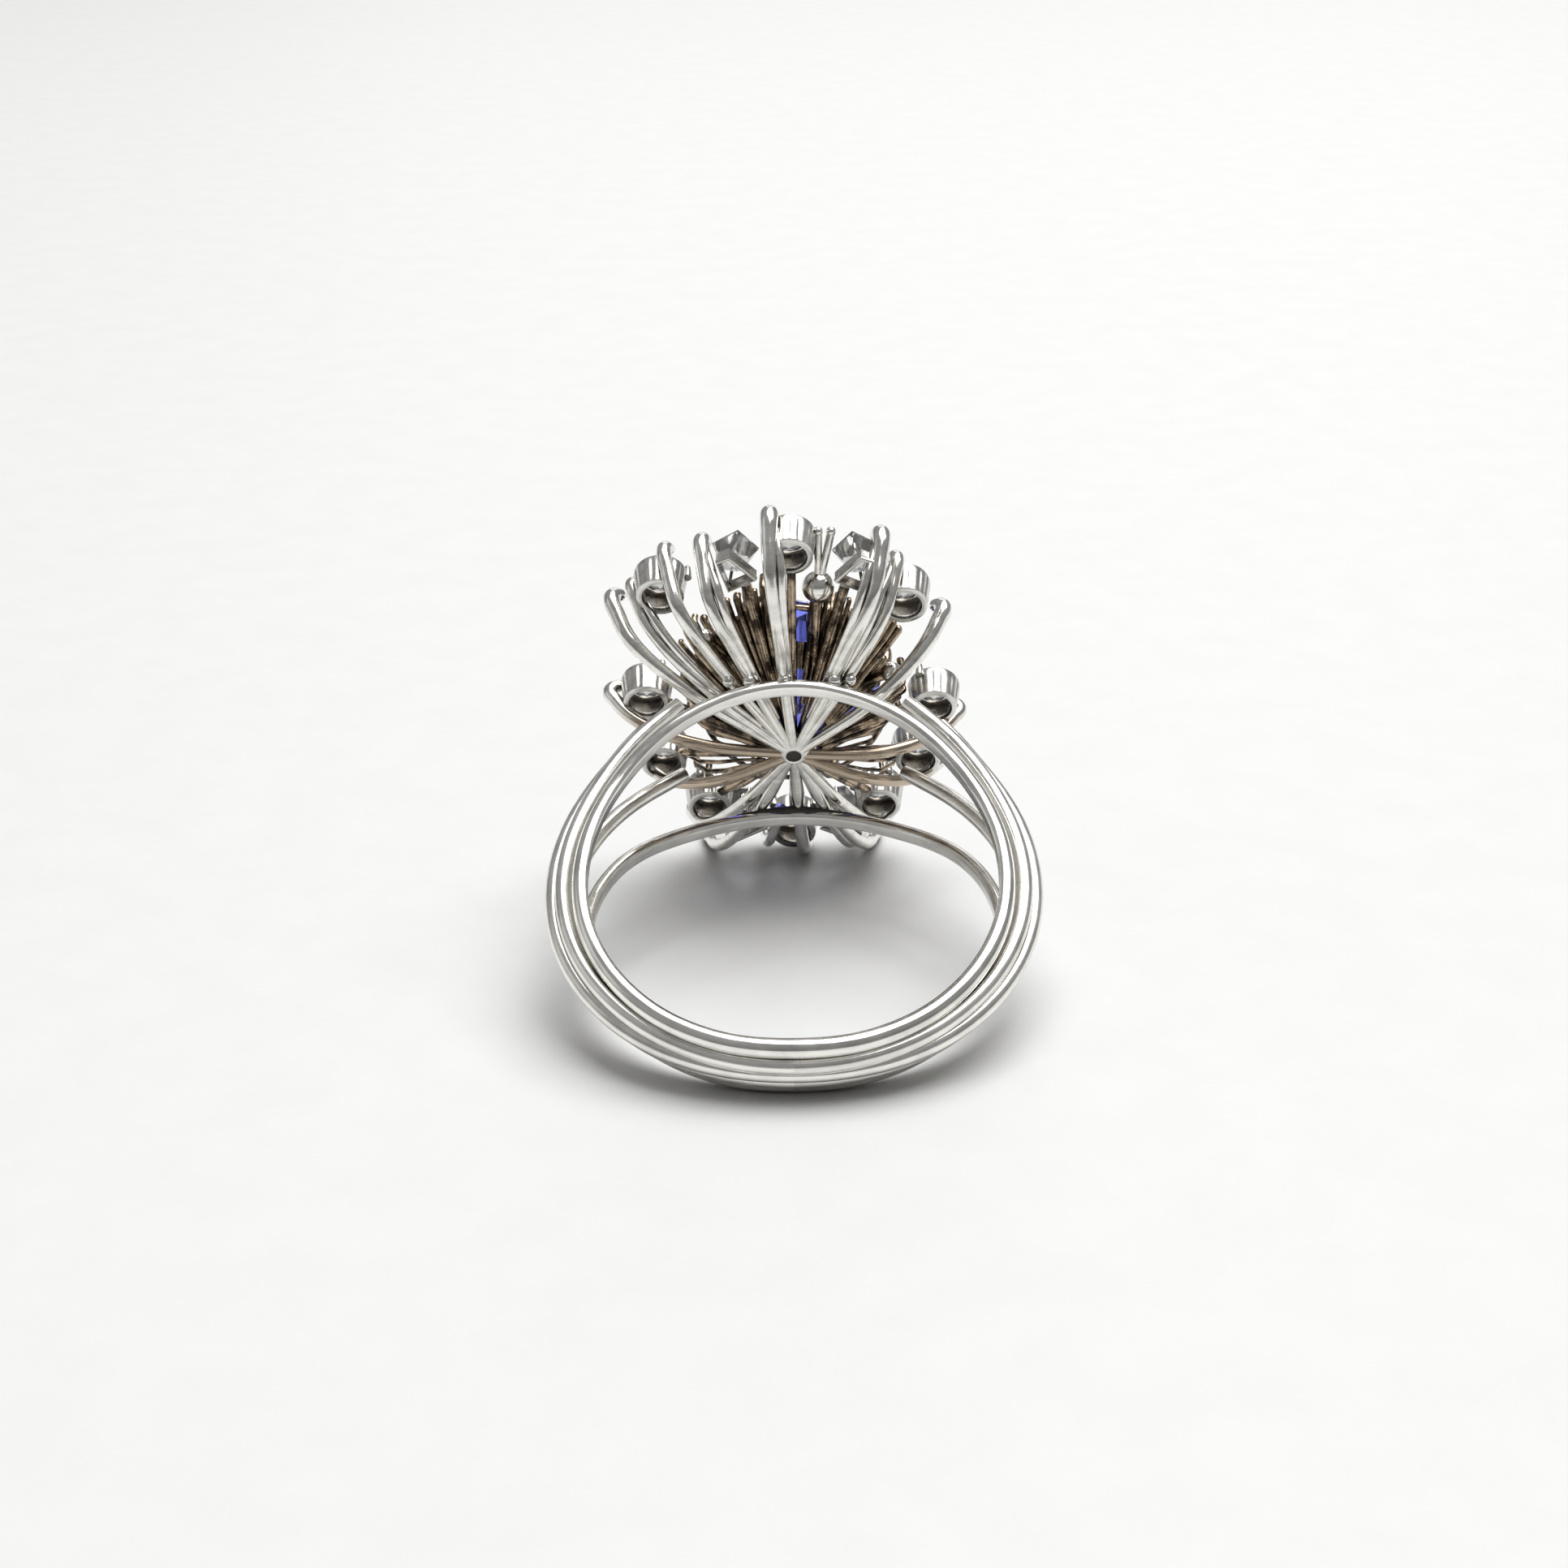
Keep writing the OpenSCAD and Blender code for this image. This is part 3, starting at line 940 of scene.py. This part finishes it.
class RING_OT_rails(bpy.types.Operator):
    """Two wires with a flat inner side that run all round the finger hole"""

    bl_idname = "ring.rails"
    bl_label = "Rails"

    def execute(self, context):
        runs = [ring_wire(UPPER_RAIL, 1, 180, 60), ring_wire(LOWER_RAIL, -1, 180, 60)]
        piece = wires(runs, closed=True, profile=flat_profile(RAIL_FLAT), fine=4)
        finished(piece, "rails", rail(), 30)
        # Solder line along the lower arch, coloured dark as painted shade
        solder = []
        for i in range(SOLDER_KNOTS + 1):
            angle = 180 + SOLDER_ARC * (2 * i / SOLDER_KNOTS - 1)
            place = ring_point(LOWER_RAIL, angle if angle <= 180 else angle - 360, -1)
            thinner = SOLDER_TAPER * abs(180 - angle) / SOLDER_ARC
            radius = SOLDER_RADIUS - thinner + 0.03 * math.sin(2 * angle)
            solder.append((place * 1.015 + Vector((0, 0, 0.38)), radius))
        finished(wires([solder], fine=4, sides=4), "arch_solder_with_shade_paint", painted_shade())
        return {"FINISHED"}


class RING_OT_shoulders(bpy.types.Operator):
    """Round wires that fill the band at the back and fan out to the head"""

    bl_idname = "ring.shoulders"
    bl_label = "Shoulder wires"

    def execute(self, context):
        runs = [
            ring_wire(SHOULDER, 1, SHOULDER_END, 50),
            ring_wire(SHOULDER, -1, SHOULDER_END, 50),
            ring_wire(CENTRE, 1, CENTRE_END, 48),
        ]
        finished(wires(runs, fine=4, sides=7), "shoulder_wires", worn())
        return {"FINISHED"}


class RING_OT_claws(bpy.types.Operator):
    """Claws that spread from the hub and fold over the outer stones, with their thin partners"""

    bl_idname = "ring.claws"
    bl_label = "Claws"

    def execute(self, context):
        runs, thin, low, petals = [], [], [], []
        for across, reach, height, radius, bend, side in CLAWS:
            tip = Vector((across, height, reach))
            first = 0.4 if reach < LATE_CLAWS else 0
            dull = DULL_CLAWS[0] < reach < DULL_CLAWS[1]
            (low if dull else runs).append(claw_run(tip, radius, bend, side, first))
            if side:
                thin.append(partner_run(tip, bend, side))
        for across, height, radius, bend, held in FEET:
            tip = Vector((across, height, foot_reach(height, radius) + held))
            run = claw_run(tip, radius, bend)
            runs.append(run)
            end = Vector((across, PETAL_HEIGHT, tip.z))
            petals.append([(run[0][0].lerp(end, way), wide) for way, wide in PETAL])
        finished(wires(runs, fine=5, sides=6, upright=False), "claws", metal())
        finished(wires(low, fine=5, sides=6, upright=False), "side_claws", dim())
        finished(wires(petals, fine=5, sides=5, upright=False), "petals", metal())
        finished(wires(thin, fine=5, sides=4, upright=False), "partner_wires", metal())
        return {"FINISHED"}


class RING_OT_hub(bpy.types.Operator):
    """Small bored boss where all claws meet"""

    bl_idname = "ring.hub"
    bl_label = "Hub"

    def execute(self, context):
        upright = Matrix.Rotation(math.radians(-90), 4, "X")
        turn = Matrix.Translation((0, sizes().hub_height - 0.26, 0)) @ upright
        piece = lathe(HUB_OUTLINE, 48)
        piece.data.transform(turn)
        finished(piece, "hub", metal())
        # Dark plug of painted shade that fills the bore
        plug = lathe(PLUG_OUTLINE, 32)
        plug.data.transform(turn)
        finished(plug, "hub_bore", painted_shade())
        return {"FINISHED"}


def basket_point(angle, way, spread=1):
    """Point on the straight part of a basket wire, from the hub at 0 to the knee at 1."""
    turn = math.radians(angle)
    x = (sizes().centre_width / 2 + BASKET_CLEARANCE) * math.cos(turn) * spread
    z = (sizes().centre_length / 2 + BASKET_CLEARANCE) * math.sin(turn) * spread
    low, high = sizes().hub_height + 0.14, sizes().centre_girdle - KNEE_DROP
    out = 0.16 + 0.84 * way
    return Vector((x * out, low + (high - low) * way, z * out))


class RING_OT_inner_wires(bpy.types.Operator):
    """Straight wires from the hub to the undersides of the settings, and the fan behind the claws"""

    bl_idname = "ring.inner_wires"
    bl_label = "Inner wires"

    def execute(self, context):
        runs = []
        for across, reach, height, radius in STAYS:
            start = Vector((across * STAY_ROOT, sizes().hub_height + 0.24, reach * STAY_ROOT))
            runs.append([(start, 0.18), (Vector((across, height, reach)), radius)])
        for first, last, count, begin, end, spread, radius in FAN:
            for i in range(count):
                angle = first + (last - first) * i / (count - 1)
                low, high = basket_point(angle, begin, spread), basket_point(angle, end, spread)
                wide = radius * (1 + 0.25 * math.sin(5 * angle))
                run = [(low, wide * (0.5 + 0.5 * begin)), (high, wide)]
                if end == 1:
                    rise = 0.55 + 0.4 * math.sin(9 * angle)
                    run.append((high + Vector((0, rise, 0)), wide))
                runs.append(run)
        finished(wires(runs, fine=4, sides=4, upright=False), "inner_wires", bronze())
        return {"FINISHED"}


class RING_OT_basket(bpy.types.Operator):
    """Wires that hold the centre stone, each with a bead over its edge, and the wire that binds them"""

    bl_idname = "ring.basket"
    bl_label = "Basket"

    def execute(self, context):
        runs = []
        for angle in BASKET_ANGLES:
            knee, girdle = basket_point(angle, 1), sizes().centre_girdle
            thick = 0.14 if angle in THIN_ANGLES else 0.23
            run = [
                (basket_point(angle, 0), 0.14),
                (basket_point(angle, 0.5), thick),
                (knee, thick + 0.04),
                (Vector((knee.x, girdle + 0.25, knee.z)), 0.3),
                (Vector((knee.x * 0.95, girdle + 0.55, knee.z * 0.95)), 0.26),
            ]
            runs.append(rounded(run))
        held = wires(runs, fine=5, sides=4, upright=False)
        circle = [(basket_point(5 * i, 1), 0.12) for i in range(72)]
        binding = wires([circle], closed=True, fine=3, sides=3, upright=False)
        finished(joined([held, binding]), "basket", bronze())
        return {"FINISHED"}


class RING_OT_beads(bpy.types.Operator):
    """Polished balls on short stems inside the head, and solder where claws cross the upper rail"""

    bl_idname = "ring.beads"
    bl_label = "Beads"

    def execute(self, context):
        balls, beads = (
            [(Vector((across, height, reach)), radius) for across, reach, height, radius in rows]
            for rows in (BALLS, TWIG_BEADS)
        )
        solder = [
            (Vector((row[0] * CROSSING_PLACE / row[1], CROSSING_HEIGHT, CROSSING_PLACE)), row[3] * 0.8)
            for row in CLAWS
            if row[1] > CROSSING_CLAWS
        ]
        pieces = []
        for place, radius in balls + beads + solder:
            leave_edit_and_clear()
            bpy.ops.mesh.primitive_uv_sphere_add(segments=24, ring_count=14, radius=radius, location=MIDDLE)
            ball = bpy.context.object
            ball.data.transform(Matrix.Translation(place))
            pieces.append(ball)
        large = balls[0][0]
        twigs = [
            rounded([(large, 0.2), (large.lerp(tip, 0.5) + Vector((0, -0.15, 0)), 0.17), (tip, 0.19)])
            for tip, _ in beads
        ]
        pieces.append(wires(twigs, fine=4, sides=4, upright=False))
        finished(joined(pieces), "beads", metal())
        stems = []
        for place, radius in balls:
            turn = math.degrees(math.atan2(place.z / sizes().centre_length, place.x / sizes().centre_width))
            foot = basket_point(turn, 1)
            way = min(1, (place.y - sizes().hub_height) / (foot.y - sizes().hub_height))
            for apart in (-12, -6, 0) if place == large else (0,):
                start = basket_point(turn + apart, way - abs(apart) * 0.04)
                stems.append([(start, 0.2), (place, min(0.25, radius * 0.6))])
        finished(wires(stems, fine=4, sides=4, upright=False), "stems", bronze())
        return {"FINISHED"}


def fluted(piece, flutes, depth, reach):
    """Presses upright grooves into the outer side of a lathed wall that narrows downwards."""
    for vertex in piece.data.vertices:
        radius = math.hypot(vertex.co.x, vertex.co.y)
        if radius > reach + 0.15 * vertex.co.z and FLUTE_HEIGHTS[0] < vertex.co.z < FLUTE_HEIGHTS[1]:
            wave = abs(math.cos(flutes * math.atan2(vertex.co.y, vertex.co.x) / 2))
            share = 1 - depth * wave**6 / radius
            vertex.co.x *= share
            vertex.co.y *= share


def ribbon(points, closed, height, thickness):
    """A wall of a height and thickness along a path."""
    leave_edit_and_clear()
    bpy.ops.curve.primitive_bezier_curve_add()
    piece = bpy.context.object
    data = piece.data
    data.splines.clear()
    data.dimensions = "3D"
    data.twist_mode = "Z_UP"
    spline = data.splines.new("POLY")
    spline.points.add(len(points) - 1)
    spline.use_cyclic_u = closed
    for knot, point in zip(spline.points, points):
        knot.co = (*point, 1)
    data.extrude = (height - thickness) / 2
    data.bevel_depth = thickness / 2
    data.bevel_resolution = 2
    data.use_fill_caps = True
    bpy.ops.object.convert(target="MESH")
    return bpy.context.object


class RING_OT_collets(bpy.types.Operator):
    """Fluted collet with two grains, made once and copied to each round stone"""

    bl_idname = "ring.collets"
    bl_label = "Collets"

    def execute(self, context):
        stone = sizes().round_diameter / 2
        wall = lathe([(stone + out, height) for out, height in COLLET_OUTLINE], 120)
        fluted(wall, FLUTES, FLUTE_DEPTH, stone + 0.185)
        grains = []
        for turn in (125, 235):
            foot = Matrix.Rotation(math.radians(turn), 3, "Z") @ Vector((stone + 0.28, 0, -0.3))
            grains.append(rounded([(foot + Vector((0, 0, rise)), wide) for rise, wide in GRAIN]))
        model = joined([wall, wires(grains, fine=3, sides=3, upright=False)])
        copies = [copy_of(model, seat(row)) for row in ROUNDS]
        bpy.data.objects.remove(model)
        finished(joined(copies), "collets", satin())
        return {"FINISHED"}


class RING_OT_kite_settings(bpy.types.Operator):
    """Box of low walls under each kite stone, with a thick rim on its outer sides and a thin post"""

    bl_idname = "ring.kite_settings"
    bl_label = "Kite settings"

    def execute(self, context):
        copies = []
        for side in (1, -1):
            corners = [(x, y * side) for x, y in KITE_BOX]
            wall = ribbon([(x, y, -1.30) for x, y in corners], True, 0.70, 0.09)
            rim = ribbon([(x, y, -1.55) for x, y in corners[:3]], False, 0.26, 0.22)
            x, y = corners[3]
            post = rounded([(Vector((x, y, -1.45)), 0.09), (Vector((-1.08, 0, 0.0)), 0.07)])
            model = joined([wall, rim, wires([post], fine=3, sides=3, upright=False)])
            copies += [copy_of(model, seat(row)) for row in KITES if KITE_SIDES[row[0]] == side]
            bpy.data.objects.remove(model)
        finished(joined(copies), "kite_settings", satin())
        return {"FINISHED"}


class RING_OT_kite_stones(bpy.types.Operator):
    """Step cut kite stones with a full pavilion"""

    bl_idname = "ring.kite_stones"
    bl_label = "Kite stones"

    def execute(self, context):
        corners = len(KITE_OUTLINE)
        model = lathe(KITE_CUT, corners)
        for vertex in model.data.vertices:
            share = math.hypot(vertex.co.x, vertex.co.y)
            corner = round(math.atan2(vertex.co.y, vertex.co.x) * corners / (2 * math.pi)) % corners
            vertex.co.x, vertex.co.y = (share * value for value in KITE_OUTLINE[corner])
        for row in KITES:
            name = f"diamond_{row[0]}"
            piece = copy_of(model, LAID @ seat(row))
            piece.name = piece.data.name = f"kite_stone_{row[0]}"
            piece.data.materials.append(material("clear diamond", clear_stone))
            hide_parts(name)
            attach(piece, "root")
        bpy.data.objects.remove(model)
        return {"FINISHED"}


class RING_OT_stones(bpy.types.Operator):
    """Glassy finishes for the cut stones"""

    bl_idname = "ring.stones"
    bl_label = "Stones"

    def execute(self, context):
        blue, clear = material("blue corundum", blue_stone), material("clear diamond", clear_stone)
        for name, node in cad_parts.items():
            if name == "mount":
                continue
            node.data.materials.clear()
            node.data.materials.append(blue if name == "sapphire" else clear)
        return {"FINISHED"}


class RING_OT_studio(bpy.types.Operator):
    """Pale floor, soft lights and the camera"""

    bl_idname = "ring.studio"
    bl_label = "Studio"

    def execute(self, context):
        leave_edit_and_clear()
        bpy.ops.mesh.primitive_plane_add(size=2)
        floor = bpy.context.object
        floor.name = "floor"
        floor.data.materials.append(white_floor())
        self.sky(context)
        for name, place, size, power in LIGHTS:
            bpy.ops.object.light_add(type="AREA", location=place)
            light = bpy.context.object
            light.name = name
            light.data.size = size
            light.data.energy = power
            aim = Vector(LIT_PLACE) - Vector(place)
            light.rotation_mode = "QUATERNION"
            light.rotation_quaternion = aim.to_track_quat("-Z", "Y")
        turn = [math.radians(angle) for angle in CAMERA_TURN]
        bpy.ops.object.camera_add(location=CAMERA_PLACE, rotation=turn)
        camera = bpy.context.object
        camera.data.sensor_width = 36
        camera.data.lens = CAMERA_LENS
        camera.data.clip_start = 0.001
        camera.data.clip_end = 10
        context.scene.camera = camera
        context.scene.view_settings.view_transform = "Standard"
        return {"FINISHED"}

    def sky(self, context):
        """A white tent that is darker towards the front and brighter low down, near the horizon."""
        world = context.scene.world or bpy.data.worlds.new("tent")
        context.scene.world = world
        tent = Finish(world)
        direction = tent.read(tent.node("ShaderNodeTexCoord"), "Generated")
        parts = tent.node("ShaderNodeSeparateXYZ", None, {"Vector": direction})
        front, up = tent.read(parts, "Y"), tent.read(parts, "Z")
        bright = up.over(0.0, 0.6) * 0.38 + 0.62 + (1 - up.over(0.02, 0.2)) * 0.6
        shade = 1 - (0 - front).over(0.3, 0.9) * 0.2
        values = {"Color": (1, 1, 1, 1), "Strength": bright * shade * TENT_STRENGTH}
        back = tent.node("ShaderNodeBackground", None, values)
        output = tent.node("ShaderNodeOutputWorld")
        tent.tree.links.new(back.outputs[0], output.inputs["Surface"])


PIECES = (
    RING_OT_studio,
    RING_OT_rails,
    RING_OT_shoulders,
    RING_OT_claws,
    RING_OT_hub,
    RING_OT_inner_wires,
    RING_OT_basket,
    RING_OT_beads,
    RING_OT_collets,
    RING_OT_kite_settings,
    RING_OT_kite_stones,
    RING_OT_stones,
)


class RING_PT_panel(bpy.types.Panel):
    """Lists the ring's pieces"""

    bl_label = "Ring"
    bl_idname = "RING_PT_panel"
    bl_space_type = "VIEW_3D"
    bl_region_type = "UI"
    bl_category = "Ring"

    def draw(self, context):
        for group in (context.scene.ring_sizes, context.scene.ring_colours):
            for key in group.__annotations__:
                self.layout.prop(group, key)
        for piece in PIECES:
            self.layout.operator(piece.bl_idname)


CLASSES = (RingSizes, RingColours, *PIECES, RING_PT_panel)


def register():
    for item in CLASSES:
        bpy.utils.register_class(item)
    bpy.types.Scene.ring_sizes = bpy.props.PointerProperty(type=RingSizes)
    bpy.types.Scene.ring_colours = bpy.props.PointerProperty(type=RingColours)


def unregister():
    del bpy.types.Scene.ring_sizes
    del bpy.types.Scene.ring_colours
    for item in reversed(CLASSES):
        bpy.utils.unregister_class(item)


def main():
    register()
    for piece in PIECES:
        group, name = piece.bl_idname.split(".")
        getattr(getattr(bpy.ops, group), name)()


if __name__ == "__main__":
    main()
